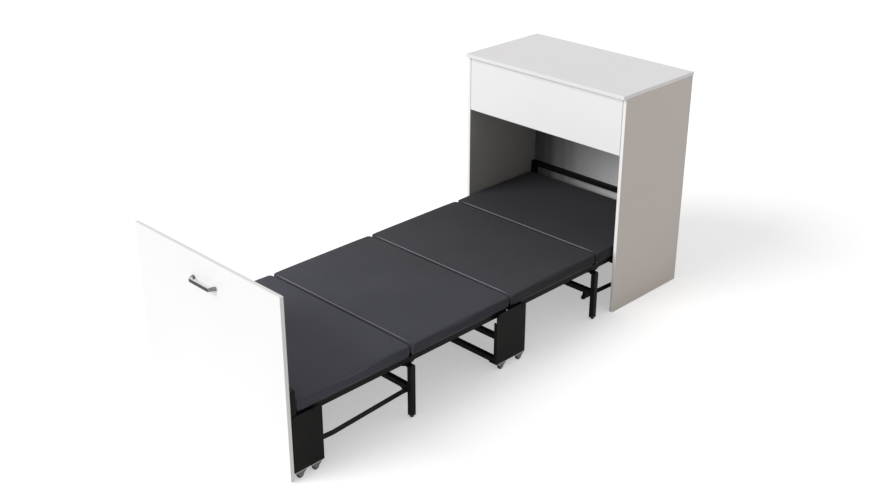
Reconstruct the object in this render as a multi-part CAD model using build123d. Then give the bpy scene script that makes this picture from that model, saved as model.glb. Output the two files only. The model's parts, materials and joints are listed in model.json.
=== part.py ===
from build123d import *
import math
import os

# Millimetres. X runs across the bed, Y from the foot of the bed to the wall, Z up.
# The origin is on the floor at the wall, midway between the side panels.
# The bed is modelled pulled out flat, so it runs from the cabinet towards -Y.

# Cabinet
cabinet_width = 820.0
cabinet_depth = 440.0
cabinet_height = 920.0
board = 14.0
back_sheet = 4.0
top_overhang = 16.0
edge_round = 1.0
ceiling_gap = 8.0
floor_setback = 20.0

# Drawer over the bed bay
front_height = 227.0
front_gap = 2.0
front_top_gap = 3.0
drawer_board = 12.0
drawer_sheet = 4.0
drawer_length = 380.0
drawer_top_room = 34.0
drawer_lift = 14.0
slide_room = 12.7
slide_sheet = 1.4
slide_height = 45.0
slide_play = 3.5
slide_raise = 40.0
slide_seat = 0.3

# Folding geometry, seen from the side
pivot_height = 228.0
fold_headroom = 8.0
pivot_clearance = 1.0
guard_clearance = 3.0
post_wall_gap = 5.0
door_standoff = 5.0
door_inset = 2.0
seam_gap = 2.0
end_overhang = 55.0
pad_end_overhang = 62.0

# Steel frame of each bed section
tube = 20.0
tube_wall = 1.5
rail_gap = 2.0
slat_thickness = 8.0
slat_width = 58.0
slat_count = 5
slat_end_margin = 16.0
slat_inset = 2.0

# Mattress pads
pad_thickness = 46.7
pad_side_gap = 1.0
pad_seat = 0.3
pad_crown_across = 4.0
pad_crown_along = 3.0
pad_draw_in = 3.0
pad_corner = 24.0
pad_top_round = 8.0
pad_bottom_round = 5.0

# Side plates that carry the pivots and the castors
sheet = 3.0
panel_gap = 3.0
plate_bottom = 30.0
plate_head = 12.0
mid_plate_half = 79.0
end_plate_reach = 34.0
plate_flange = 15.0
flange_drop = 24.0
link_flange_drop = 23.0
castor_shelf = 38.0
plate_corner = 12.0

# Guards at the two ends of the mattress
guard_rise = 40.0
boss_radius = 8.0
boss_low = 120.0
boss_high = 300.0

# Folding legs
leg_crossbar_bottom = 105.0
cap_height = 14.0
cap_plug = 12.0
cap_radius = 7.0
ear_thickness = 3.0
ear_gap = 0.5
ear_radius = 10.0
ear_root = 46.0

# Pivots
bolt_radius = 4.0
bolt_head_radius = 8.0
bolt_head_height = 2.0
running_clearance = 0.08
open_pivot_clearance = 0.4
nut_across_corners = 14.0
nut_height = 5.0
sleeve_radius = 6.5
bolt_seat = 0.5

# Link bars that keep the legs upright
link_drop = 117.0
link_offset = 12.0
link_width = 18.0
link_thickness = 4.0
link_leg_inset = 29.0
link_bend_distance = 66.0
link_side_gap = 0.5
lug_thickness = 4.0

# Castors
castor_length = 50.0
castor_width = 30.0
castor_sheet = 2.0
castor_end_gap = 1.0
castor_meeting_inset = 6.0
castor_side_gap = 1.0
wheel_radius = 12.5
wheel_width = 12.0
wheel_edge = 1.5
axle_radius = 2.5
fork_sheet = 1.6
fork_side_gap = 0.6
fork_axle_pad = 7.5

# Door and its handle
door_bottom = 6.0
door_top_gap = 3.0
door_side_gap = 1.5
handle_span = 132.0
handle_reach = 26.0
handle_bar = 5.0
handle_height = 12.0
handle_foot = 10.0
handle_slope = 14.0
handle_drop = 91.0

# One overrun serves every cut that has to pass right through
overrun = 5.0

# Worked out from the sizes above
inner_half = cabinet_width / 2 - board
front = -cabinet_depth
back_face = -back_sheet
side_height = cabinet_height - board
bay_height = side_height - front_top_gap - front_height
floor_level = bay_height + ceiling_gap
fold_length = floor_level - fold_headroom - ear_radius - pivot_height
plate_outer_half = inner_half - panel_gap
rail_outer_half = plate_outer_half - plate_flange - rail_gap
slat_half_length = rail_outer_half - slat_inset
pad_half_width = plate_outer_half - sheet - pad_side_gap
handle_axis_height = bay_height - door_top_gap - handle_drop
rail_top = pivot_height + tube / 2
rail_bottom = pivot_height - tube / 2
deck = rail_top + slat_thickness
bed_top = deck + pad_seat + pad_thickness
guard_top = bed_top + guard_rise
plate_top = pivot_height + plate_head
flange_top = pivot_height - flange_drop
link_height = pivot_height - link_drop
link_flange_top = link_height - link_flange_drop
face_reach = bed_top - pivot_height
pivot_to_seam = face_reach + pivot_clearance
pivot_to_post = face_reach + guard_clearance
post_back = back_face - post_wall_gap
head_pivot = post_back - tube - pivot_to_post
head_hinge = head_pivot - fold_length
mid_pivot_head = head_hinge - fold_length
mid_centre = mid_pivot_head - pivot_to_seam
mid_pivot_foot = mid_centre - pivot_to_seam
foot_hinge = mid_pivot_foot - fold_length
foot_pivot = foot_hinge - fold_length
foot_post_front = foot_pivot - pivot_to_post - tube
door_back = foot_post_front - door_standoff
folded_door_back = front + door_inset + board
folded_stack = head_pivot - 2 * pivot_to_seam - pivot_to_post - tube - door_standoff
hinge_drop = (folded_stack - folded_door_back) / 4
hinge_height = pivot_height - hinge_drop
leg_half = plate_outer_half - tube
link_leg_half = leg_half - link_leg_inset
bolt_hole = bolt_radius + running_clearance
link_unit_half = plate_outer_half - sheet - link_side_gap
fork_inner_half = wheel_width / 2 + fork_side_gap
castor_half = plate_outer_half - castor_side_gap - fork_sheet - fork_inner_half
drawer_bottom_level = floor_level + board + drawer_lift
drawer_start = front + board


def block(x0, x1, y0, y1, z0, z1):
    """A box between two corners."""
    centre = Pos((x0 + x1) / 2, (y0 + y1) / 2, (z0 + z1) / 2)
    return centre * Box(x1 - x0, y1 - y0, z1 - z0)


def mirrored(solid):
    """The same piece on the other side of the bed."""
    return mirror(solid, about=Plane.YZ)


def both_sides(solid):
    return [solid, mirrored(solid)]


def rod_x(radius, x0, x1, y, z):
    """A round bar along X."""
    return Pos((x0 + x1) / 2, y, z) * Rot(0, 90, 0) * Cylinder(radius, abs(x1 - x0))


def nut_x(x0, x1, y, z):
    """A plain hexagon nut along X."""
    outline = Plane.YZ * Pos(y, z) * RegularPolygon(nut_across_corners / 2, 6)
    return Pos(x0, 0, 0) * extrude(outline, x1 - x0, dir=(1, 0, 0))


def rod_z(radius, x, y, z0, z1):
    """An upright round bar."""
    return Pos(x, y, (z0 + z1) / 2) * Cylinder(radius, z1 - z0)


def tube_x(x0, x1, y0, z0):
    """Square tube along X, open at its ends."""
    outer = block(x0, x1, y0, y0 + tube, z0, z0 + tube)
    bore = block(
        x0 - overrun, x1 + overrun,
        y0 + tube_wall, y0 + tube - tube_wall,
        z0 + tube_wall, z0 + tube - tube_wall,
    )
    return outer - bore


def tube_y(x0, y0, y1, z0):
    """Square tube along Y, open at its ends."""
    outer = block(x0, x0 + tube, y0, y1, z0, z0 + tube)
    bore = block(
        x0 + tube_wall, x0 + tube - tube_wall,
        y0 - overrun, y1 + overrun,
        z0 + tube_wall, z0 + tube - tube_wall,
    )
    return outer - bore


def tube_z(x0, y0, z0, z1):
    """Upright square tube, closed at its top and open at its bottom."""
    outer = block(x0, x0 + tube, y0, y0 + tube, z0, z1)
    bore = block(
        x0 + tube_wall, x0 + tube - tube_wall,
        y0 + tube_wall, y0 + tube - tube_wall,
        z0 - overrun, z1 - tube_wall,
    )
    return outer - bore


def plate_x(outline, x0, x1):
    """A flat plate whose outline lies in the YZ plane, between two X values."""
    face = Plane.YZ * outline
    return Pos(x0, 0, 0) * extrude(face, x1 - x0, dir=(1, 0, 0))


def eye_plate(root, root_z, eye, radius, x0, x1):
    """A flat plate from a straight root between two Y values to a rounded eye."""
    eye_y, eye_z = eye
    outline = Polyline(
        (min(root), root_z),
        (max(root), root_z),
        (eye_y + radius, eye_z),
        (eye_y - radius, eye_z),
        close=True,
    )
    return plate_x(make_face(outline), x0, x1) + rod_x(radius, x0, x1, eye_y, eye_z)


def softened(board_solid, radius):
    """Rounds the upright and level edges at a board's front face."""
    front = board_solid.faces().sort_by(Axis.Y)[0]
    return fillet(front.edges(), radius)


# The cabinet


def side_panel():
    panel = block(inner_half, cabinet_width / 2, front, back_face, 0, side_height)
    return softened(panel, edge_round)


def top_panel():
    half = cabinet_width / 2
    panel = block(-half, half, front - top_overhang, 0, side_height, cabinet_height)
    return softened(panel, edge_round)


def back_panel():
    half = cabinet_width / 2 - board / 2
    return block(-half, half, back_face, 0, 0, side_height)


def compartment_floor():
    """Closes the bed bay at its top and carries nothing but its own stiffness."""
    top = floor_level + board
    return block(-inner_half, inner_half, front + floor_setback, back_face, floor_level, top)


# The drawer


def drawer_front():
    half = inner_half - front_gap
    panel = block(-half, half, front, drawer_start, bay_height, side_height - front_top_gap)
    return softened(panel, edge_round)


def drawer_box():
    """Two sides, a back between them and a sheet nailed under all three."""
    outer = inner_half - slide_room - slide_seat
    inner = outer - drawer_board
    low = drawer_bottom_level
    high = side_height - drawer_top_room
    back = drawer_start + drawer_length
    side = block(inner, outer, drawer_start, back, low, high)
    rear = block(-inner, inner, back - drawer_board, back, low, high)
    sheet_part = block(-outer, outer, drawer_start, back, low - drawer_sheet, low)
    return both_sides(side) + [rear, sheet_part]


def slide_profile(web_x, lip_x, half_height):
    """Half of a drawer slide: a flat channel with its web at web_x and lips towards lip_x."""
    middle = drawer_bottom_level + slide_raise
    out = 1 if web_x > lip_x else -1
    web_in = web_x - out * slide_sheet
    x0 = min(web_x, lip_x)
    x1 = max(web_x, lip_x)
    low = middle - half_height
    high = middle + half_height
    back = drawer_start + drawer_length
    channel = block(x0, x1, drawer_start, back, low, high)
    hollow = block(
        min(web_in, lip_x - out * overrun), max(web_in, lip_x - out * overrun),
        drawer_start - overrun, back + overrun,
        low + slide_sheet, high - slide_sheet,
    )
    return channel - hollow


def drawer_runners():
    """The halves of the slides that are screwed to the side panels."""
    lip = inner_half - slide_room + slide_sheet
    return both_sides(slide_profile(inner_half, lip, slide_height / 2))


def drawer_slides():
    """The halves of the slides that travel with the drawer."""
    web = inner_half - slide_room - slide_seat
    lip = inner_half - slide_sheet * 2
    half_height = slide_height / 2 - slide_sheet - slide_play
    return both_sides(slide_profile(web, lip, half_height))


# The three wheeled or fixed units that carry the pivots


def plate_outline(y0, y1):
    """Side plate seen from the side, with rounded upper corners."""
    face = Pos((y0 + y1) / 2, (plate_bottom + plate_top) / 2) * Rectangle(
        y1 - y0, plate_top - plate_bottom
    )
    return fillet(face.vertices().group_by(Axis.Y)[-1], plate_corner)


def side_plate(y0, y1, outer, low_flange_top, high_flange_top):
    """Folded sheet: a web, an edge folded in at each end where asked, and a shelf below."""
    inner = outer - sheet
    folded = outer - plate_flange
    part = plate_x(plate_outline(y0, y1), inner, outer)
    if low_flange_top > plate_bottom:
        part += block(folded, inner, y0, y0 + sheet, plate_bottom, low_flange_top)
    if high_flange_top > plate_bottom:
        part += block(folded, inner, y1 - sheet, y1, plate_bottom, high_flange_top)
    shelf_top = plate_bottom + sheet
    part += block(outer - castor_shelf, inner, y0, y1, plate_bottom, shelf_top)
    return part


def pierced(part, places, outer, radius):
    """Holes through a side plate's web at each (y, z) place."""
    for y, z in places:
        part -= rod_x(radius, outer - sheet - overrun, outer + overrun, y, z)
    return part


head_span = (head_pivot - end_plate_reach, post_back)
mid_span = (mid_centre - mid_plate_half, mid_centre + mid_plate_half)
foot_span = (foot_post_front, foot_pivot + end_plate_reach)
head_link_y = head_pivot - link_offset
foot_link_y = foot_pivot + link_offset

# The two castors that come face to face when the bed is folded sit further in
castor_from_end = castor_end_gap + castor_length / 2
castor_from_meeting_end = castor_from_end + castor_meeting_inset
mid_castors = (mid_span[0] + castor_from_meeting_end, mid_span[1] - castor_from_end)
foot_castors = (foot_span[0] + castor_from_end, foot_span[1] - castor_from_meeting_end)


def head_plate():
    """Screwed flat to the side panel, so it stands a sheet further out than the others."""
    y0, y1 = head_span
    part = side_plate(y0, y1, inner_half, link_flange_top, plate_bottom)
    places = [(head_pivot, pivot_height), (head_link_y, link_height)]
    return pierced(part, places, inner_half, bolt_hole)


def mid_plate():
    y0, y1 = mid_span
    part = side_plate(y0, y1, plate_outer_half, flange_top, flange_top)
    places = [(mid_pivot_head, pivot_height), (mid_pivot_foot, pivot_height)]
    return pierced(part, places, plate_outer_half, bolt_hole)


def foot_plate():
    y0, y1 = foot_span
    part = side_plate(y0, y1, plate_outer_half, plate_bottom, link_flange_top)
    places = [(foot_pivot, pivot_height), (foot_link_y, link_height)]
    return pierced(part, places, plate_outer_half, bolt_hole)


def guard(post_y, cross_y, outer):
    """Two posts, a bar over the mattress and two low crossbars, welded into one."""
    floor_z = plate_bottom + sheet
    post = tube_z(outer - tube, post_y, floor_z, guard_top)
    inner = outer - tube
    part = post + mirrored(post)
    part += tube_x(-inner, inner, post_y, guard_top - tube)
    part += tube_x(-inner, inner, post_y, floor_z)
    part += tube_x(-outer, outer, cross_y, floor_z)
    return part


def head_guard():
    cross_y = head_span[0] + sheet
    return guard(post_back - tube, cross_y, inner_half - sheet)


def foot_guard():
    """Also has the bosses that the door is screwed to."""
    outer = plate_outer_half - sheet
    cross_y = foot_span[1] - sheet - tube
    part = guard(foot_post_front, cross_y, outer)
    for z in (boss_low, boss_high):
        boss = Pos(outer - tube / 2, (door_back + foot_post_front) / 2, z)
        boss = boss * Rot(90, 0, 0) * Cylinder(boss_radius, door_standoff)
        part += boss
        part += mirrored(boss)
    return part


def mid_crossbars():
    outer = plate_outer_half - sheet
    floor_z = plate_bottom + sheet
    low = tube_x(-outer, outer, mid_span[0] + sheet, floor_z)
    high = tube_x(-outer, outer, mid_span[1] - sheet - tube, floor_z)
    return [low, high]


def pivot_bolt(y, outer):
    """Low round head, shank through plate and rail, sleeve between them, nut inside."""
    shank_end = rail_outer_half - tube - nut_height
    part = rod_x(bolt_radius, shank_end, outer, y, pivot_height)
    head_outer = min(outer + bolt_head_height, inner_half)
    if head_outer > outer:
        part += rod_x(bolt_head_radius, outer, head_outer, y, pivot_height)
    part += rod_x(sleeve_radius, rail_outer_half + bolt_seat, outer - sheet, y, pivot_height)
    nut_outer = rail_outer_half - tube - bolt_seat
    part += nut_x(shank_end, nut_outer, y, pivot_height)
    return part


def link_stud(y, outer):
    """Carries the outer end of a link bar on the inner face of a plate."""
    bar_outer = link_unit_half
    bar_inner = bar_outer - link_thickness
    head_outer = bar_inner - link_side_gap
    head_inner = head_outer - bolt_head_height
    part = rod_x(bolt_radius, head_inner, outer, y, link_height)
    part += rod_x(bolt_head_radius - link_side_gap, head_inner, head_outer, y, link_height)
    if outer - sheet > bar_outer + link_side_gap:
        spacer_inner = bar_outer + link_side_gap
        part += rod_x(sleeve_radius, spacer_inner, outer - sheet, y, link_height)
    return part


def head_bolts():
    pieces = [pivot_bolt(head_pivot, inner_half), link_stud(head_link_y, inner_half)]
    return [side for piece in pieces for side in both_sides(piece)]


def mid_bolts():
    pieces = [pivot_bolt(y, plate_outer_half) for y in (mid_pivot_head, mid_pivot_foot)]
    return [side for piece in pieces for side in both_sides(piece)]


def foot_bolts():
    outer = plate_outer_half
    pieces = [pivot_bolt(foot_pivot, outer), link_stud(foot_link_y, outer)]
    return [side for piece in pieces for side in both_sides(piece)]


# The four bed sections


class Section:
    """One section of the bed: pivot_y at a unit, hinge_y over a leg, and its ear's place."""

    def __init__(self, pivot_y, hinge_y, overhang, pad_overhang, ear_outer):
        self.out = 1 if pivot_y > hinge_y else -1
        self.pivot_y = pivot_y
        self.hinge_y = hinge_y
        self.seam_end = hinge_y + self.out * seam_gap / 2
        self.rail_end = pivot_y + self.out * overhang
        self.pad_end = pivot_y + self.out * pad_overhang
        self.ear_outer = ear_outer


ear_a_outer = leg_half - ear_gap
ear_b_outer = ear_a_outer - ear_thickness - ear_gap
mid_pad_overhang = pivot_to_seam - seam_gap / 2
sections = [
    Section(head_pivot, head_hinge, end_overhang, pad_end_overhang, ear_a_outer),
    Section(mid_pivot_head, head_hinge, end_overhang, mid_pad_overhang, ear_b_outer),
    Section(mid_pivot_foot, foot_hinge, end_overhang, mid_pad_overhang, ear_b_outer),
    Section(foot_pivot, foot_hinge, end_overhang, pad_end_overhang, ear_a_outer),
]


def hinge_ear(section):
    """Plate under the rail that drops to the hinge over the leg."""
    root = section.hinge_y + section.out * ear_root
    inner = section.ear_outer - ear_thickness
    eye = (section.hinge_y, hinge_height)
    span = (root, section.seam_end)
    return eye_plate(span, rail_bottom, eye, ear_radius, inner, section.ear_outer)


def section_frame(section):
    """Two side rails, a tube across each end and a hinge ear under each rail."""
    y0 = min(section.seam_end, section.rail_end)
    y1 = max(section.seam_end, section.rail_end)
    inner = rail_outer_half - tube
    rail = tube_y(inner, y0, y1, rail_bottom)
    ear = hinge_ear(section)
    part = rail + mirrored(rail) + ear + mirrored(ear)
    part += tube_x(-inner, inner, y0, rail_bottom)
    part += tube_x(-inner, inner, y1 - tube, rail_bottom)
    reach = rail_outer_half + overrun
    part -= rod_x(bolt_hole, -reach, reach, section.pivot_y, pivot_height)
    part -= rod_x(bolt_hole, -reach, reach, section.hinge_y, hinge_height)
    return part


def section_slats(section):
    """Flat wooden slats across the rails."""
    y0 = min(section.seam_end, section.rail_end) + slat_end_margin
    y1 = max(section.seam_end, section.rail_end) - slat_end_margin - slat_width
    slats = []
    for index in range(slat_count):
        y = y0 + (y1 - y0) * index / (slat_count - 1)
        half = slat_half_length
        slats.append(block(-half, half, y, y + slat_width, rail_top, deck))
    return slats


def drawn_in_outline(x_half, y0, y1):
    """Plan of a pad: corners out, the middle of each side drawn in a little."""
    middle = (y0 + y1) / 2
    pull = pad_draw_in
    corners = [(-x_half, y0), (x_half, y0), (x_half, y1), (-x_half, y1)]
    middles = [(0, y0 + pull), (x_half - pull, middle), (0, y1 - pull), (pull - x_half, middle)]
    edges = []
    for index in range(4):
        start = corners[index]
        end = corners[(index + 1) % 4]
        edges.append(ThreePointArc(start, middles[index], end))
    return fillet(make_face(edges).vertices(), pad_corner)


def crowned_block(half_length, low, high):
    """A block whose top arches gently both across and along."""
    half = pad_half_width
    shoulder = high - pad_crown_across
    base = Polyline((-half, shoulder), (-half, low), (half, low), (half, shoulder))
    arch = ThreePointArc((half, shoulder), (0, high), (-half, shoulder))
    side = Plane.XZ * make_face([base, arch])
    radius = half_length**2 / (2 * pad_crown_along)
    axle = Axis((0, 0, high - radius), (1, 0, 0))
    turn = math.degrees(math.asin((half_length + overrun) / (radius - high + low)))
    return revolve(side.rotate(axle, -turn), axle, 2 * turn)


def mattress_pad(section):
    """Foam pad in its cover: drawn-in sides, rounded corners and a crowned top."""
    y0 = min(section.seam_end, section.pad_end)
    y1 = max(section.seam_end, section.pad_end)
    low = deck + pad_seat
    middle = (y0 + y1) / 2
    half_length = (y1 - y0) / 2
    body = Pos(0, 0, low) * extrude(drawn_in_outline(pad_half_width, y0, y1), bed_top - low)
    pad = body & (Pos(0, middle, 0) * crowned_block(half_length, low - overrun, bed_top))
    top = pad.faces().sort_by(Axis.Z)[-1]
    pad = fillet(top.edges(), pad_top_round)
    bottom = pad.faces().sort_by(Axis.Z)[0]
    return fillet(bottom.edges(), pad_bottom_round)


# The folding legs and the link bars


def leg_pair(hinge_y, link_y):
    """Two legs and their crossbar, with the hinge bolts and the lugs for the link bars."""
    leg = block(leg_half, plate_outer_half, hinge_y - tube / 2, hinge_y + tube / 2, cap_height, hinge_height)
    leg += rod_x(tube / 2, leg_half, plate_outer_half, hinge_y, hinge_height)
    wall_in = leg_half + tube_wall
    wall_out = plate_outer_half - tube_wall
    bore_half = tube / 2 - tube_wall
    bore_top = hinge_height - tube / 2
    leg -= block(
        wall_in, wall_out, hinge_y - bore_half, hinge_y + bore_half, cap_height - overrun, bore_top
    )
    pin_end = ear_b_outer - ear_thickness - ear_gap - nut_height
    leg += rod_x(bolt_radius, pin_end, leg_half, hinge_y, hinge_height)
    leg += nut_x(pin_end, pin_end + nut_height, hinge_y, hinge_height)
    crossbar = tube_x(-leg_half, leg_half, hinge_y - tube / 2, leg_crossbar_bottom)
    lug = link_lug(hinge_y, link_y)
    return leg + mirrored(leg) + crossbar + lug + mirrored(lug)


def link_lug(hinge_y, link_y):
    """Plate under the crossbar with the stud that the link bar turns on."""
    height = hinge_height - link_drop
    outer = link_leg_half - link_thickness / 2 - link_side_gap
    half = tube / 2
    root = (hinge_y - half, hinge_y + half)
    lug = eye_plate(root, leg_crossbar_bottom, (link_y, height), half, outer - lug_thickness, outer)
    stud_outer = outer + link_side_gap * 2 + link_thickness + bolt_head_height
    lug += rod_x(bolt_radius, outer, stud_outer, link_y, height)
    lug += rod_x(bolt_head_radius - link_side_gap, stud_outer - bolt_head_height, stud_outer, link_y, height)
    return lug


def leg_caps(hinge_y):
    """Plastic feet: a plug in the tube over a short rounded tip."""
    x = leg_half + tube / 2
    plug_half = tube / 2 - tube_wall
    plug = block(
        x - plug_half, x + plug_half, hinge_y - plug_half, hinge_y + plug_half,
        cap_height, cap_height + cap_plug,
    )
    foot = block(leg_half, plate_outer_half, hinge_y - tube / 2, hinge_y + tube / 2, cap_height / 2, cap_height)
    tip = rod_z(cap_radius, x, hinge_y, 0, cap_height / 2)
    return both_sides(plug + foot + tip)


def link_bar(leg_y, unit_y):
    """Flat bar from a leg's lug to a plate, bent so that its outer end lies along the plate."""
    out = 1 if unit_y > leg_y else -1
    leg_z = hinge_height - link_drop
    unit_x = link_unit_half - link_thickness / 2
    bend_y = unit_y - out * link_bend_distance
    half = link_thickness / 2
    plan = Polyline(
        (link_leg_half, leg_y - out * link_width),
        (link_leg_half, leg_y + out * link_width),
        (unit_x, bend_y),
        (unit_x, unit_y + out * link_width),
    )
    strip = Plane.XY * make_face(offset(plan, half, kind=Kind.INTERSECTION))
    blank = extrude(strip, guard_top)
    rise = math.degrees(math.atan2(link_height - leg_z, abs(unit_y - leg_y)))
    length = math.hypot(unit_y - leg_y, link_height - leg_z)
    side = SlotCenterToCenter(length, link_width)
    side = Pos((leg_y + unit_y) / 2, (leg_z + link_height) / 2) * Rot(0, 0, out * rise) * side
    profile = plate_x(side, link_leg_half - link_width, plate_outer_half)
    bar = blank & profile
    bar -= rod_x(bolt_hole, link_leg_half - overrun, link_leg_half + overrun, leg_y, leg_z)
    open_hole = bolt_radius + open_pivot_clearance
    bar -= rod_x(open_hole, unit_x - overrun, unit_x + overrun, unit_y, link_height)
    return bar


head_leg_link_y = head_hinge - link_offset
foot_leg_link_y = foot_hinge + link_offset


# The castors


def castor_sites():
    """Name and middle of each fixed castor, left and right, from foot to head."""
    sites = []
    for unit, places in (("foot", foot_castors), ("mid", mid_castors)):
        for place, y in zip(("front", "rear"), places):
            sites.append((unit + "_" + place + "_left", -castor_half, y))
            sites.append((unit + "_" + place + "_right", castor_half, y))
    return sites


def castor_fork(x, y):
    """Fixed fork: a plate under the shelf, two tapering cheeks and the axle between them."""
    side = 1 if x > 0 else -1
    low = plate_bottom - castor_sheet
    edge = side * plate_outer_half
    far_edge = edge - side * castor_width
    half_length = castor_length / 2
    root = (y - half_length, y + half_length)
    part = block(min(edge, far_edge), max(edge, far_edge), root[0], root[1], low, plate_bottom)
    eye = (y, wheel_radius)
    inner = fork_inner_half
    outer = inner + fork_sheet
    part += eye_plate(root, low, eye, fork_axle_pad, x + inner, x + outer)
    part += eye_plate(root, low, eye, fork_axle_pad, x - outer, x - inner)
    return part + rod_x(axle_radius, x - outer, x + outer, y, wheel_radius)


def castor_wheel(x, y):
    """Plastic wheel with chamfered edges on the fork's axle."""
    half = wheel_width / 2
    wheel = rod_x(wheel_radius, -half, half, 0, 0)
    wheel = chamfer(wheel.edges(), wheel_edge)
    wheel -= rod_x(axle_radius + running_clearance, -wheel_width, wheel_width, 0, 0)
    return Pos(x, y, wheel_radius) * wheel


# The door that closes the bay and travels with the foot of the bed


def door():
    half = inner_half - door_side_gap
    face_y = door_back - board
    panel = block(-half, half, face_y, door_back, door_bottom, bay_height - door_top_gap)
    return softened(panel, edge_round)


def door_handle():
    """Bow handle: a flat bar with sloping ends, in one piece."""
    face_y = door_back - board
    half = handle_span / 2
    bar_half = half - handle_slope
    inner_half_span = half - handle_foot
    inner_bar = bar_half - handle_foot / 2
    outline = Polygon(
        (-half, face_y),
        (-bar_half, face_y - handle_reach),
        (bar_half, face_y - handle_reach),
        (half, face_y),
        (inner_half_span, face_y),
        (inner_bar, face_y - handle_reach + handle_bar),
        (-inner_bar, face_y - handle_reach + handle_bar),
        (-inner_half_span, face_y),
        align=None,
    )
    low = handle_axis_height - handle_height / 2
    handle = Pos(0, 0, low) * extrude(outline, handle_height)
    outer_edges = handle.edges().filter_by(Axis.Z).group_by(Axis.Y)[0]
    return fillet(outer_edges, handle_bar / 2)


def nodes():
    """Every node's name with its solid or its list of solids."""
    named = {
        "side_panel_right": side_panel(),
        "side_panel_left": mirrored(side_panel()),
        "top_panel": top_panel(),
        "back_panel": back_panel(),
        "compartment_floor": compartment_floor(),
        "drawer_runners": drawer_runners(),
        "drawer_front": drawer_front(),
        "drawer_box": drawer_box(),
        "drawer_slides": drawer_slides(),
        "head_plate_right": head_plate(),
        "head_plate_left": mirrored(head_plate()),
        "head_guard": head_guard(),
        "head_pivot_bolts": head_bolts(),
        "mid_plate_right": mid_plate(),
        "mid_plate_left": mirrored(mid_plate()),
        "mid_crossbars": mid_crossbars(),
        "mid_pivot_bolts": mid_bolts(),
        "foot_plate_right": foot_plate(),
        "foot_plate_left": mirrored(foot_plate()),
        "foot_guard": foot_guard(),
        "foot_pivot_bolts": foot_bolts(),
        "door": door(),
        "door_handle": door_handle(),
        "head_legs": leg_pair(head_hinge, head_leg_link_y),
        "head_leg_caps": leg_caps(head_hinge),
        "foot_legs": leg_pair(foot_hinge, foot_leg_link_y),
        "foot_leg_caps": leg_caps(foot_hinge),
        "head_links": both_sides(link_bar(head_leg_link_y, head_link_y)),
        "foot_links": both_sides(link_bar(foot_leg_link_y, foot_link_y)),
    }
    for number, section in enumerate(sections, start=1):
        named[f"section_{number}_frame"] = section_frame(section)
        named[f"section_{number}_slats"] = section_slats(section)
        named[f"mattress_pad_{number}"] = mattress_pad(section)
    for name, x, y in castor_sites():
        named["castor_fork_" + name] = castor_fork(x, y)
        named["castor_wheel_" + name] = castor_wheel(x, y)
    return named


def write_all():
    os.makedirs("parts", exist_ok=True)
    for name, shape in nodes().items():
        solids = shape if isinstance(shape, list) else [shape]
        pieces = [solid for item in solids for solid in item.solids()]
        body = pieces[0] if len(pieces) == 1 else Compound(children=pieces)
        export_step(body, "parts/" + name + ".step")


write_all()
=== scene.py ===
import json
import math

import bmesh
import bpy
import numpy as np
from mathutils import Matrix, Vector


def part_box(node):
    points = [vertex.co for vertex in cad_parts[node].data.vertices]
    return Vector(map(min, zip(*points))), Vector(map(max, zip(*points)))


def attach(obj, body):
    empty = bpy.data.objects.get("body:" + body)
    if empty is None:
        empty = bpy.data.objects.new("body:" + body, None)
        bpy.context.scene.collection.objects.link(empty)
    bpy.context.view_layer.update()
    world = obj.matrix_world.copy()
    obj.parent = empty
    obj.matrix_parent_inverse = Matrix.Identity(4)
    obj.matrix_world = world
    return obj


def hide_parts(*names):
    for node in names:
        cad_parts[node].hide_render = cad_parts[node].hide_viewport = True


# Metres. X runs across the bed, +Y towards the wall, Z up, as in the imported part.

# Camera, solved from the straight edges in the photograph
camera_place = (2.9413, -3.9692, 2.3151)
camera_right = (0.70503, 0.70917, -0.00166)
camera_up = (-0.29995, 0.30031, 0.90545)
camera_back = (0.64262, -0.63788, 0.42444)
camera_lens_mm = 49.46
sensor_width_mm = 36.0

# Light
sky_strength = 0.45
backdrop_strength = 1.0
sun_strength = 1.99
sun_spread_degrees = 40.0
sun_travel = (0.34, 0.82, -0.56)
floor_reach = 9.0
floor_tone = 0.90
floor_lift = 0.42

# Mattress covers: the start shape, its cloth, and how far a point may move
pad_count = 4
weld_distance = 0.00001
cover_start_inset = 0.0022
cover_voxel = 0.0070
cover_quality = 5
cover_mass = 0.3
cover_stretch_stiffness = 30
cover_shear_stiffness = 12
cover_bending_stiffness = 4
cover_pressure = 4.0
cover_frames = 20
cover_rest_band = 0.0060
cover_cap = 0.0030

# Mattress covers: the crisp box that the swollen cover is drawn towards, and a size that
# keeps divisions clear of zero
cover_margin = 0.0008
cover_corner = 0.024
cover_corner_power = 3.0
cover_edge = 0.016
cover_edge_power = 8.0
cover_firmness = 0.8
cover_crown_across = 0.004
cover_crown_along = 0.003
cover_draw_in = 0.003
least_size = 1e-9

# Mattress covers: the weave, its painted shade fading from head to foot, and painted shade on its sides
weave_pitch = 0.0022
weave_dark_share = 0.86
weave_light_share = 1.12
weave_slub_share = 0.8
shade_head_y = -0.28
shade_foot_y = -1.79
shade_power = 1.5
shaded_side_x = 0.3837
side_shade_share = 0.64

# Welts are light threads laid as painted highlights on each pad's foot-end edge.
# Welts: how far from the pad's corners they end, from where the cover is searched for, how
# far the welt's middle stands proud and how thin its ends are, both as shares of its radius
welt_radius = 0.0016
welt_resolution = 2
welt_corner = 0.026
welt_points = 48
welt_search = 0.05
welt_proud_share = 0.2
welt_end_share = 0.25

# Side trims: a box's corners are numbered along X first, then Y, then Z
trim_thickness = 0.002
box_faces = ((0, 1, 3, 2), (4, 6, 7, 5), (0, 4, 5, 1), (2, 3, 7, 6), (0, 2, 6, 4), (1, 5, 7, 3))

# Side boards: where the painted shade on the inner faces ends and the outer print starts,
# and the band glued to the front edge
inner_shade_x = 0.3965
front_edge_y = 0.4390
edge_band = (0.96, 0.95, 0.94)

# Front boards: where the painted shade on the side edges starts
door_edge_shade_x = 0.3942
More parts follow.
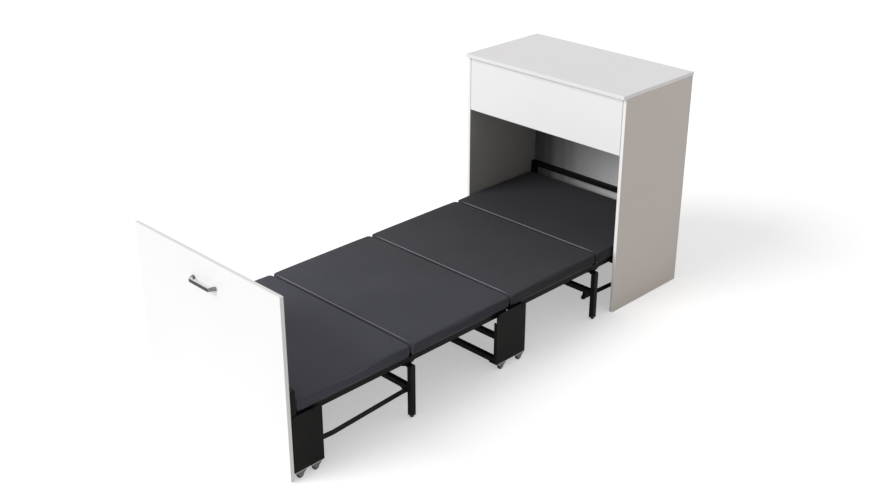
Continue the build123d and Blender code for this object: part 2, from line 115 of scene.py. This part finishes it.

# Back sheet: how far its inner face with painted shade is from the wall, where the painted
# shade's fade from dark to light starts and ends, the painted streaks' middle and share in it, and the plain
# outer side
back_shaded_face_y = 0.0030
back_shade_dark_x = -0.30
back_shade_light_x = 0.12
streak_middle = 0.5
streak_share = 0.5
back_outside = (0.50, 0.485, 0.465)

# Handle: where the painted dark reflection on its front face and its sloping ends starts.
# Castors: where the plate starts, above the painted shade on the forks
handle_face_y = 2.1128
handle_slope_x = 0.0525
castor_plate_z = 0.0279

# A wave texture's bands are this far apart at scale 1
wave_pitch = math.pi / 10

# The mixing nodes' sockets share their names with others, so they go by number
mix_colour_inputs = (6, 7)
mix_colour_output = 2
mix_shader_inputs = (1, 2)

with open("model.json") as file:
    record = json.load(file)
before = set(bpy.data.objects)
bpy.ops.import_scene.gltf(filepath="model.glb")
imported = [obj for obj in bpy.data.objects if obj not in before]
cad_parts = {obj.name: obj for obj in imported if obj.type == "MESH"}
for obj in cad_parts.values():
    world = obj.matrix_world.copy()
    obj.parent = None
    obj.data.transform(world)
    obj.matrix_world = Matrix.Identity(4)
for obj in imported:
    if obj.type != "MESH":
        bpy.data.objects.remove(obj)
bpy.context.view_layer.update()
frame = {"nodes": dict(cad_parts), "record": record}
nodes = frame["nodes"]


# Node graphs


class Paint:
    """A material being built, with short ways to add nodes to it."""

    def __init__(self, name, roughness, metallic=0.0, specular=0.5):
        self.material = bpy.data.materials.new(name)
        self.material.use_nodes = True
        self.tree = self.material.node_tree
        self.shader = self.tree.nodes["Principled BSDF"]
        self.shader.inputs["Roughness"].default_value = roughness
        self.shader.inputs["Metallic"].default_value = metallic
        self.shader.inputs["Specular IOR Level"].default_value = specular
        self.place = self.tree.nodes.new("ShaderNodeTexCoord").outputs["Object"]

    def set(self, name, value):
        self.shader.inputs[name].default_value = value

    def node(self, kind, **values):
        made = self.tree.nodes.new(kind)
        for key, value in values.items():
            socket = key.replace("_", " ").title()
            if isinstance(value, bpy.types.NodeSocket):
                self.tree.links.new(value, made.inputs[socket])
            else:
                made.inputs[socket].default_value = value
        return made

    def stretched(self, scale):
        made = self.tree.nodes.new("ShaderNodeMapping")
        self.tree.links.new(self.place, made.inputs["Vector"])
        made.inputs["Scale"].default_value = scale
        return made.outputs["Vector"]

    def noise(self, scale, detail, vector=None):
        made = self.node("ShaderNodeTexNoise", scale=scale, detail=detail)
        self.tree.links.new(vector or self.place, made.inputs["Vector"])
        return made.outputs["Fac"]

    def bands(self, pitch, direction, distortion=0.0):
        """Straight sine bands of one pitch in metres along X, Y or Z."""
        made = self.tree.nodes.new("ShaderNodeTexWave")
        made.bands_direction = direction
        self.tree.links.new(self.place, made.inputs["Vector"])
        made.inputs["Scale"].default_value = wave_pitch / pitch
        made.inputs["Distortion"].default_value = distortion
        return made.outputs["Fac"]

    def math(self, operation, a, b):
        made = self.tree.nodes.new("ShaderNodeMath")
        made.operation = operation
        for socket, value in zip(made.inputs, (a, b)):
            if isinstance(value, bpy.types.NodeSocket):
                self.tree.links.new(value, socket)
            else:
                socket.default_value = value
        return made.outputs["Value"]

    def blend(self, first, second, share):
        """The share of the first factor plus the rest of the second."""
        return self.math("ADD", self.math("MULTIPLY", first, share), self.math("MULTIPLY", second, 1 - share))

    def ramp(self, factor, low, high, start, end):
        """A colour that runs from low to high as factor goes from start to end."""
        made = self.tree.nodes.new("ShaderNodeValToRGB")
        self.tree.links.new(factor, made.inputs["Fac"])
        first, last = made.color_ramp.elements
        first.position = start
        last.position = end
        first.color = (*low, 1)
        last.color = (*high, 1)
        return made.outputs["Color"]

    def tinted(self, factor, colour, low_share=1.0, high_share=1.0, start=0.3, end=0.7):
        """One colour that runs from a low to a high share of itself."""
        low = tuple(channel * low_share for channel in colour)
        high = tuple(channel * high_share for channel in colour)
        return self.ramp(factor, low, high, start, end)

    def coordinate(self, axis):
        split = self.tree.nodes.new("ShaderNodeSeparateXYZ")
        self.tree.links.new(self.place, split.inputs["Vector"])
        return split.outputs[axis]

    def beyond(self, axis, limit):
        """1 where the size of one coordinate is over a limit, otherwise 0."""
        size = self.math("ABSOLUTE", self.coordinate(axis), 0.0)
        return self.math("GREATER_THAN", size, limit)

    def run(self, axis, start, end):
        """0 where one coordinate is at start and 1 where it is at end."""
        made = self.tree.nodes.new("ShaderNodeMapRange")
        self.tree.links.new(self.coordinate(axis), made.inputs["Value"])
        made.inputs["From Min"].default_value = start
        made.inputs["From Max"].default_value = end
        return made.outputs["Result"]

    def mixed(self, factor, low, high):
        """The colour low where factor is 0 and high where it is 1."""
        made = self.tree.nodes.new("ShaderNodeMix")
        made.data_type = "RGBA"
        self.tree.links.new(factor, made.inputs["Factor"])
        for number, colour in zip(mix_colour_inputs, (low, high)):
            socket = made.inputs[number]
            if isinstance(colour, bpy.types.NodeSocket):
                self.tree.links.new(colour, socket)
            else:
                socket.default_value = (*colour, 1)
        return made.outputs[mix_colour_output]

    def darker(self, colour, share):
        made = self.tree.nodes.new("ShaderNodeVectorMath")
        made.operation = "SCALE"
        self.tree.links.new(colour, made.inputs[0])
        made.inputs["Scale"].default_value = share
        return made.outputs["Vector"]

    def span(self, factor, low, high):
        made = self.tree.nodes.new("ShaderNodeMapRange")
        self.tree.links.new(factor, made.inputs["Value"])
        made.inputs["To Min"].default_value = low
        made.inputs["To Max"].default_value = high
        return made.outputs["Result"]

    def wire(self, socket, name):
        self.tree.links.new(socket, self.shader.inputs[name])

    def bump(self, height, strength, distance):
        made = self.node("ShaderNodeBump", strength=strength, distance=distance, height=height)
        self.wire(made.outputs["Normal"], "Normal")


# Materials


def laminate(name, colour, roughness=0.42, inner=None, edge=None):
    """Melamine-faced board: a fine pebble in the sheet, and a faint change of tone.

    A side board may have painted shade on its inner faces, and then a white band on its front edge.
    A front board may have a warm, darker band of painted shade on its side edges.
    """
    paint = Paint(name, roughness, specular=0.4)
    cloud = paint.noise(scale=2.4, detail=4.0)
    tone = paint.tinted(cloud, colour, low_share=0.975)
    if inner:
        # A darker copy of the board on the inner faces: painted shade inside the cabinet.
        inside = paint.tinted(cloud, inner, low_share=0.95)
        tone = paint.mixed(paint.beyond("X", inner_shade_x), inside, tone)
        tone = paint.mixed(paint.beyond("Y", front_edge_y), tone, edge_band)
    if edge:
        # Warm, darker side edges of the front board: painted shade.
        tone = paint.mixed(paint.beyond("X", door_edge_shade_x), tone, edge)
    paint.wire(tone, "Base Color")
    pebble = paint.noise(scale=620.0, detail=2.0)
    paint.wire(paint.span(pebble, low=roughness - 0.06, high=roughness + 0.10), "Roughness")
    paint.bump(pebble, strength=0.12, distance=0.0004)
    return paint.material


def chipboard_inside(name, colour):
    """Matt inner board with a faint printed grain."""
    paint = Paint(name, roughness=0.62, specular=0.3)
    grain = paint.noise(scale=16.0, detail=6.0, vector=paint.stretched((1.0, 1.0, 14.0)))
    paint.wire(paint.tinted(grain, colour, low_share=0.93), "Base Color")
    paint.wire(paint.span(grain, low=0.56, high=0.70), "Roughness")
    paint.bump(grain, strength=0.08, distance=0.0004)
    return paint.material


def back_sheet_painted_shade(name, dark, light):
    """Back sheet: painted shade inside, lighter from left to right, and plain hardboard outside."""
    paint = Paint(name, roughness=0.5, specular=0.3)
    streak = paint.noise(scale=9.0, detail=3.0, vector=paint.stretched((1.0, 1.0, 0.04)))
    place = paint.run("X", back_shade_dark_x, back_shade_light_x)
    uneven_shade = paint.math("MULTIPLY", paint.math("SUBTRACT", streak, streak_middle), streak_share)
    # Painted shade: dark on the left of the inside, light on the right, with uneven streaks.
    inside = paint.ramp(paint.math("ADD", place, uneven_shade), dark, light, start=0.0, end=1.0)
    fibre = paint.noise(scale=160.0, detail=5.0)
    outside = paint.tinted(fibre, back_outside, low_share=0.9)
    paint.wire(paint.mixed(paint.beyond("Y", back_shaded_face_y), outside, inside), "Base Color")
    paint.wire(paint.span(streak, low=0.44, high=0.58), "Roughness")
    paint.bump(streak, strength=0.05, distance=0.0004)
    return paint.material


def powder_coat(name, colour):
    """Black powder-coated steel: fine orange peel, slightly worn and dusty patches."""
    paint = Paint(name, roughness=0.5, specular=0.09)
    dust = paint.noise(scale=9.0, detail=5.0)
    paint.wire(paint.tinted(dust, colour, high_share=1.7, start=0.45, end=0.8), "Base Color")
    peel = paint.noise(scale=900.0, detail=2.0)
    paint.wire(paint.span(peel, low=0.42, high=0.62), "Roughness")
    paint.bump(peel, strength=0.25, distance=0.0003)
    return paint.material


def plated_steel(name, colour, plate_colour, roughness):
    """Zinc plate with fine drawn lines and mottling; the forks darker than the plates by painted shade."""
    paint = Paint(name, roughness, metallic=1.0)
    drawn = paint.noise(scale=60.0, detail=4.0, vector=paint.stretched((1.0, 12.0, 1.0)))
    mottle = paint.noise(scale=45.0, detail=3.0)
    mixed = paint.blend(drawn, mottle, share=0.6)
    # The forks get a darker copy of the zinc: painted shade under the plate.
    shaded_cheek = paint.tinted(mixed, colour, low_share=0.78)
    plate = paint.tinted(mixed, plate_colour, low_share=0.78)
    paint.wire(paint.mixed(paint.beyond("Z", castor_plate_z), shaded_cheek, plate), "Base Color")
    paint.wire(paint.span(mixed, low=roughness - 0.08, high=roughness + 0.12), "Roughness")
    paint.bump(drawn, strength=0.08, distance=0.0002)
    return paint.material


def polished_chrome(name, colour, front):
    """Polished metal with painted dark reflections on its front face and sloping ends."""
    paint = Paint(name, roughness=0.14, metallic=1.0)
    smear = paint.noise(scale=55.0, detail=4.0)
    bright = paint.tinted(smear, colour, low_share=0.92)
    # Painted dark reflection on the front face, and a lighter painted reflection on the sloping ends.
    dark = paint.tinted(smear, front, low_share=0.8)
    painted_slope_reflection = paint.tinted(smear, front, low_share=2.2, high_share=3.4)
    tone = paint.mixed(paint.beyond("Y", handle_face_y), bright, dark)
    paint.wire(paint.mixed(paint.beyond("X", handle_slope_x), tone, painted_slope_reflection), "Base Color")
    paint.wire(paint.span(smear, low=0.10, high=0.22), "Roughness")
    return paint.material


def moulded_plastic(name, colour):
    """Dark moulded plastic with a fine grain and scuffed patches."""
    paint = Paint(name, roughness=0.55, specular=0.3)
    grain = paint.noise(scale=1100.0, detail=2.0)
    scuff = paint.noise(scale=70.0, detail=5.0)
    paint.wire(paint.tinted(scuff, colour, high_share=1.5, start=0.4, end=0.8), "Base Color")
    paint.wire(paint.span(scuff, low=0.48, high=0.68), "Roughness")
    paint.bump(grain, strength=0.2, distance=0.0003)
    return paint.material


def slat_timber(name, light, dark):
    """Dark birch slats: grain that runs across the bed, with growth bands and flecks."""
    paint = Paint(name, roughness=0.55, specular=0.2)
    along = paint.stretched((0.12, 1.6, 1.6))
    rings = paint.noise(scale=42.0, detail=8.0, vector=along)
    fleck = paint.noise(scale=360.0, detail=3.0, vector=along)
    mixed = paint.blend(rings, fleck, share=0.75)
    paint.wire(paint.ramp(mixed, dark, light, start=0.35, end=0.62), "Base Color")
    paint.wire(paint.span(rings, low=0.48, high=0.64), "Roughness")
    paint.bump(mixed, strength=0.18, distance=0.0005)
    return paint.material


def woven_cover(name, colour, head_shade, foot_light):
    """Plain-weave polyester: threads, slubs, painted shade fading from head to foot and on the sides."""
    paint = Paint(name, roughness=0.86, specular=0.15)
    across = paint.bands(weave_pitch, "X", distortion=0.4)
    along = paint.bands(weave_pitch, "Y", distortion=0.4)
    threads = paint.math("MAXIMUM", across, along)
    slub = paint.noise(scale=210.0, detail=3.0, vector=paint.stretched((0.25, 3.0, 3.0)))
    cloud = paint.noise(scale=5.0, detail=4.0)
    tone = paint.blend(slub, cloud, share=0.55)
    shaded_head = paint.tinted(tone, colour, weave_dark_share * head_shade, weave_light_share * head_shade)
    lit_foot = paint.tinted(tone, colour, weave_dark_share * foot_light, weave_light_share * foot_light)
    # Painted shade: darker at the head under the cabinet, painted light towards the foot.
    place = paint.math("POWER", paint.run("Y", shade_head_y, shade_foot_y), shade_power)
    top = paint.mixed(place, shaded_head, lit_foot)
    # Painted shade on the pad's sides.
    shaded_side = paint.beyond("X", shaded_side_x)
    paint.wire(paint.mixed(shaded_side, top, paint.darker(top, side_shade_share)), "Base Color")
    paint.wire(paint.span(threads, low=0.78, high=0.94), "Roughness")
    paint.set("Sheen Weight", 0.06)
    paint.set("Sheen Roughness", 0.5)
    height = paint.math("ADD", threads, paint.math("MULTIPLY", slub, weave_slub_share))
    paint.bump(height, strength=0.35, distance=0.0004)
    return paint.material


materials = {
    # Side boards: warm grey, partly their own tone and partly painted shade on their outer faces
    "side_board": laminate("side_laminate", (0.665, 0.60, 0.55), inner=(0.425, 0.412, 0.394)),
    "top_board": laminate("top_laminate", (0.875, 0.858, 0.867), roughness=0.46),
    "back_board": back_sheet_painted_shade("back_sheet_painted_shade", dark=(0.10, 0.10, 0.10), light=(0.76, 0.755, 0.76)),
    "inner_board": chipboard_inside("inner_board_print", (0.45, 0.43, 0.41)),
    "front_board": laminate("front_laminate", (0.90, 0.90, 0.90), roughness=0.38, edge=(0.88, 0.85, 0.83)),
    "drawer_board": chipboard_inside("drawer_board_print", (0.80, 0.79, 0.77)),
    "slat_wood": slat_timber("dark_slats", light=(0.034, 0.029, 0.025), dark=(0.016, 0.014, 0.012)),
    "black_steel": powder_coat("black_powder_coat", (0.0060, 0.0056, 0.0050)),
    # The first, darker zinc colour is painted shade on the castor forks.
    "zinc": plated_steel("zinc_plate", (0.17, 0.162, 0.155), plate_colour=(0.55, 0.54, 0.53), roughness=0.42),
    # The handle's front colour is a painted dark reflection.
    "chrome": polished_chrome("polished_chrome", (0.85, 0.845, 0.84), front=(0.075, 0.070, 0.066)),
    # The cover's head share paints shade at the head end and its foot share paints light at the foot.
    "cover": woven_cover("charcoal_weave", (0.046, 0.047, 0.056), head_shade=0.60, foot_light=2.05),
    # The welt's light tone is a painted highlight.
    "welt": woven_cover("welt_painted_highlight", (0.27, 0.27, 0.285), head_shade=0.9, foot_light=1.1),
    "black_plastic": moulded_plastic("black_foot_plastic", (0.012, 0.012, 0.012)),
    "wheel_plastic": moulded_plastic("dark_wheel_plastic", (0.028, 0.028, 0.030)),
}


def dress_nodes():
    for row in frame["record"]["subparts"]:
        piece = nodes[row["node"]]
        piece.data.materials.clear()
        piece.data.materials.append(materials[row["material_slot"]])


# Mattress covers


def linked(name, data):
    """A new object in the scene with this mesh, curve, lamp or lens as its data."""
    made = bpy.data.objects.new(name, data)
    bpy.context.scene.collection.objects.link(made)
    return made


def applied(piece):
    """Bakes the piece's modifiers into its mesh."""
    ready = piece.evaluated_get(bpy.context.evaluated_depsgraph_get())
    baked = bpy.data.meshes.new_from_object(ready)
    piece.modifiers.clear()
    piece.data = baked


def points_of(mesh):
    flat = np.empty(len(mesh.vertices) * 3, np.float32)
    mesh.vertices.foreach_get("co", flat)
    return flat.reshape(-1, 3).astype(float)


def put_points(mesh, points):
    mesh.vertices.foreach_set("co", points.astype(np.float32).ravel())
    mesh.update()


def inset_copy(node_name):
    """The CAD pad as one welded mesh, a little smaller at its sides and top."""
    mesh = nodes[node_name].data.copy()
    shell = bmesh.new()
    shell.from_mesh(mesh)
    bmesh.ops.remove_doubles(shell, verts=shell.verts, dist=weld_distance)
    shell.to_mesh(mesh)
    shell.free()
    low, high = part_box(node_name)
    points = points_of(mesh)
    centre = np.array((low + high) / 2)
    half = np.array((high - low) / 2)
    share = (half - cover_start_inset) / half
    points = centre + (points - centre) * share
    points[:, 2] += np.array(low)[2] - points[:, 2].min()
    put_points(mesh, points)
    return mesh


def swell(piece, rest_height):
    """Inflates the cover by cloth simulation; the band that lies on the slats is held."""
    held = piece.vertex_groups.new(name="held")
    ids = [v.index for v in piece.data.vertices if v.co.z < rest_height + cover_rest_band]
    held.add(ids, 1.0, "REPLACE")
    cloth = piece.modifiers.new("Cloth", "CLOTH")
    settings = cloth.settings
    settings.quality = cover_quality
    settings.mass = cover_mass
    settings.tension_stiffness = cover_stretch_stiffness
    settings.compression_stiffness = cover_stretch_stiffness
    settings.shear_stiffness = cover_shear_stiffness
    settings.bending_stiffness = cover_bending_stiffness
    settings.use_pressure = True
    settings.uniform_pressure_force = cover_pressure
    settings.vertex_group_mass = "held"
    settings.effector_weights.gravity = 0
    scene = bpy.context.scene
    for number in range(1, cover_frames + 1):
        scene.frame_set(number)


def within(points, start, low, high):
    """Caps how far each point has moved, and keeps all of them in the CAD pad's box."""
    moved = points - start
    far = np.linalg.norm(moved, axis=1)
    share = np.minimum(1.0, cover_cap / np.maximum(far, least_size))
    return np.clip(start + moved * share[:, None], np.array(low), np.array(high))


def towards(value, goal):
    """The value moved most of the way to the goal."""
    return value + cover_firmness * (goal - value)


def power_size(first, second, power):
    """Size of the positive parts of two numbers, by a power mean that keeps edges crisp."""
    return (np.maximum(first, 0) ** power + np.maximum(second, 0) ** power) ** (1 / power)


def firm(points, low, high):
    """Draws the swollen cover most of the way to the crisp box that firm foam gives it.

    The box has drawn-in sides and a crowned top. A point's depth below its side and its
    depth below its top or over its underside are changed together, so edges stay round.
    """
    low, high = np.array(low), np.array(high)
    centre = (low + high) / 2
    half = (high - low) / 2
    side = np.where(points < centre, -1, 1)[:, :2]
    plan = np.abs(points - centre)[:, :2]
    share = plan / half[:2]
    pull = cover_draw_in * np.clip(1 - share[:, ::-1] ** 2, 0, 1)
    inner = half[:2] - cover_margin - cover_corner - pull
    over = plan - inner
    rim = power_size(over[:, 0], over[:, 1], cover_corner_power)
    out = np.where(rim > 0, rim, over.max(axis=1))
    crown = high[2] - cover_crown_across * share[:, 0] ** 2 - cover_crown_along * share[:, 1] ** 2
    down = crown - points[:, 2]
    up = points[:, 2] - low[2]
    u = cover_edge - cover_corner + out
    v = cover_edge - np.minimum(down, up)
    size = np.maximum(power_size(u, v, cover_edge_power), least_size)
    new_u = np.where(u > 0, towards(u, cover_edge * u / size), u)
    new_v = np.where(v > 0, towards(v, cover_edge * v / size), v)
    grown = np.where(out > 0, (new_u + cover_corner - cover_edge) / np.maximum(out, least_size), 1.0)
    plan = inner + np.where(over > 0, over * grown[:, None], over)
    depth = cover_edge - new_v
    height = np.where(down < up, crown - depth, low[2] + depth)
    made = np.column_stack((centre[:2] + side * plan, height))
    return np.clip(made, low, high)


def side_trim(number):
    """Thin black edge strips between the slats' ends and the pad, one on each rail."""
    slat_low, slat_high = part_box(f"section_{number}_slats")
    rail_low, rail_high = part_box(f"section_{number}_frame")
    corners = []
    faces = []
    for outer in (rail_low.x, rail_high.x):
        inner = outer - math.copysign(trim_thickness, outer)
        first = len(corners)
        for z in (slat_low.z, slat_high.z):
            for y in (rail_low.y, rail_high.y):
                corners += [(inner, y, z), (outer, y, z)]
        faces += [tuple(first + corner for corner in face) for face in box_faces]
    mesh = bpy.data.meshes.new(f"side_trim_{number}")
    mesh.from_pydata(corners, [], faces)
    mesh.materials.append(materials["black_plastic"])
    piece = linked(f"side_trim_{number}", mesh)
    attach(piece, f"section_{number}")


def tube_along(name, points, radius, material):
    """A round thread through the points, thinning out at its ends."""
    curve = bpy.data.curves.new(name, "CURVE")
    curve.dimensions = "3D"
    curve.bevel_depth = radius
    curve.bevel_resolution = welt_resolution
    spline = curve.splines.new("POLY")
    spline.points.add(len(points) - 1)
    for index, (knot, point) in enumerate(zip(spline.points, points)):
        knot.co = (*point, 1)
        end_distance = min(index, len(points) - 1 - index)
        knot.radius = min(1.0, welt_end_share * (1 + end_distance))
    curve.materials.append(material)
    return linked(name, curve)


def highlight_welt(number, cover, low, high):
    """A painted highlight: a light welt along the top edge of a pad's foot end, laid on the finished cover.
    """
    inward = Vector((0, 1, -1)).normalized()
    reach = high.x - welt_corner
    points = []
    for index in range(welt_points):
        x = reach * (2 * index / (welt_points - 1) - 1)
        outside = Vector((x, low.y, high.z)) - inward * welt_search
        hit, place = cover.ray_cast(outside, inward)[:2]
        if hit:
            points.append(place - inward * welt_radius * welt_proud_share)
    piece = tube_along(f"mattress_highlight_welt_{number}", points, welt_radius, materials["welt"])
    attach(piece, f"section_{number}")


def mattress_cover(number):
    node_name = f"mattress_pad_{number}"
    low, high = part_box(node_name)
    piece = linked(f"mattress_cover_{number}", inset_copy(node_name))
    voxels = piece.modifiers.new("Voxels", "REMESH")
    voxels.mode = "VOXEL"
    voxels.voxel_size = cover_voxel
    applied(piece)
    start = points_of(piece.data)
    swell(piece, low.z)
    applied(piece)
    bpy.context.scene.frame_set(1)
    put_points(piece.data, within(points_of(piece.data), start, low, high))
    finer = piece.modifiers.new("Finer", "SUBSURF")
    finer.levels = 1
    finer.render_levels = 1
    applied(piece)
    put_points(piece.data, firm(points_of(piece.data), low, high))
    piece.data.shade_smooth()
    piece.data.materials.clear()
    piece.data.materials.append(materials["cover"])
    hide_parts(node_name)
    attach(piece, f"section_{number}")
    highlight_welt(number, piece, low, high)


# Stage, light and camera


def view_rays(tree):
    """1 for rays that the camera, a mirror or glass sends, otherwise 0."""
    path = tree.nodes.new("ShaderNodeLightPath")
    total = path.outputs["Is Camera Ray"]
    for name in ("Is Glossy Ray", "Is Transmission Ray"):
        larger = tree.nodes.new("ShaderNodeMath")
        larger.operation = "MAXIMUM"
        tree.links.new(total, larger.inputs[0])
        tree.links.new(path.outputs[name], larger.inputs[1])
        total = larger.outputs["Value"]
    return total


def chosen(tree, factor, seen_otherwise, seen):
    """The shader seen where factor is 1, and the other where it is 0."""
    mixer = tree.nodes.new("ShaderNodeMixShader")
    tree.links.new(factor, mixer.inputs["Fac"])
    for number, shader in zip(mix_shader_inputs, (seen_otherwise, seen)):
        tree.links.new(shader, mixer.inputs[number])
    return mixer.outputs["Shader"]


def background(tree, strength):
    made = tree.nodes.new("ShaderNodeBackground")
    made.inputs["Color"].default_value = (1, 1, 1, 1)
    made.inputs["Strength"].default_value = strength
    return made.outputs["Background"]


def build_sky():
    world = bpy.data.worlds.new("studio")
    world.use_nodes = True
    bpy.context.scene.world = world
    tree = world.node_tree
    tree.nodes.clear()
    sky = background(tree, sky_strength)
    backdrop = background(tree, backdrop_strength)
    mixed = chosen(tree, view_rays(tree), sky, backdrop)
    out = tree.nodes.new("ShaderNodeOutputWorld")
    tree.links.new(mixed, out.inputs["Surface"])


def floor_material():
    """White floor that keeps the shadow and looks as white as the backdrop elsewhere."""
    material = bpy.data.materials.new("floor_white")
    material.use_nodes = True
    tree = material.node_tree
    tree.nodes.clear()
    plain = tree.nodes.new("ShaderNodeBsdfDiffuse")
    plain.inputs["Color"].default_value = (floor_tone, floor_tone, floor_tone, 1)
    glow = tree.nodes.new("ShaderNodeEmission")
    glow.inputs["Strength"].default_value = floor_lift
    both = tree.nodes.new("ShaderNodeAddShader")
    tree.links.new(plain.outputs["BSDF"], both.inputs[0])
    tree.links.new(glow.outputs["Emission"], both.inputs[1])
    mixed = chosen(tree, view_rays(tree), plain.outputs["BSDF"], both.outputs["Shader"])
    out = tree.nodes.new("ShaderNodeOutputMaterial")
    tree.links.new(mixed, out.inputs["Surface"])
    return material


def build_floor():
    mesh = bpy.data.meshes.new("floor")
    reach = floor_reach
    corners = [(-reach, -reach, 0), (reach, -reach, 0), (reach, reach, 0), (-reach, reach, 0)]
    mesh.from_pydata(corners, [], [(0, 1, 2, 3)])
    mesh.materials.append(floor_material())
    floor = linked("floor", mesh)


def build_sun():
    lamp = bpy.data.lights.new("soft_sun", "SUN")
    lamp.energy = sun_strength
    lamp.angle = math.radians(sun_spread_degrees)
    made = linked("soft_sun", lamp)
    made.rotation_mode = "QUATERNION"
    made.rotation_quaternion = Vector(sun_travel).to_track_quat("-Z", "Y")


def build_camera():
    lens = bpy.data.cameras.new("camera")
    lens.sensor_fit = "HORIZONTAL"
    lens.sensor_width = sensor_width_mm
    lens.lens = camera_lens_mm
    made = linked("camera", lens)
    axes = (camera_right, camera_up, camera_back)
    columns = [Vector(axis).normalized() for axis in axes]
    turn = Matrix(columns).transposed().to_4x4()
    made.matrix_world = Matrix.Translation(camera_place) @ turn
    bpy.context.scene.camera = made


dress_nodes()
for pad_number in range(1, pad_count + 1):
    mattress_cover(pad_number)
    side_trim(pad_number)
build_sky()
build_floor()
build_sun()
build_camera()
bpy.context.scene.view_settings.view_transform = "Standard"
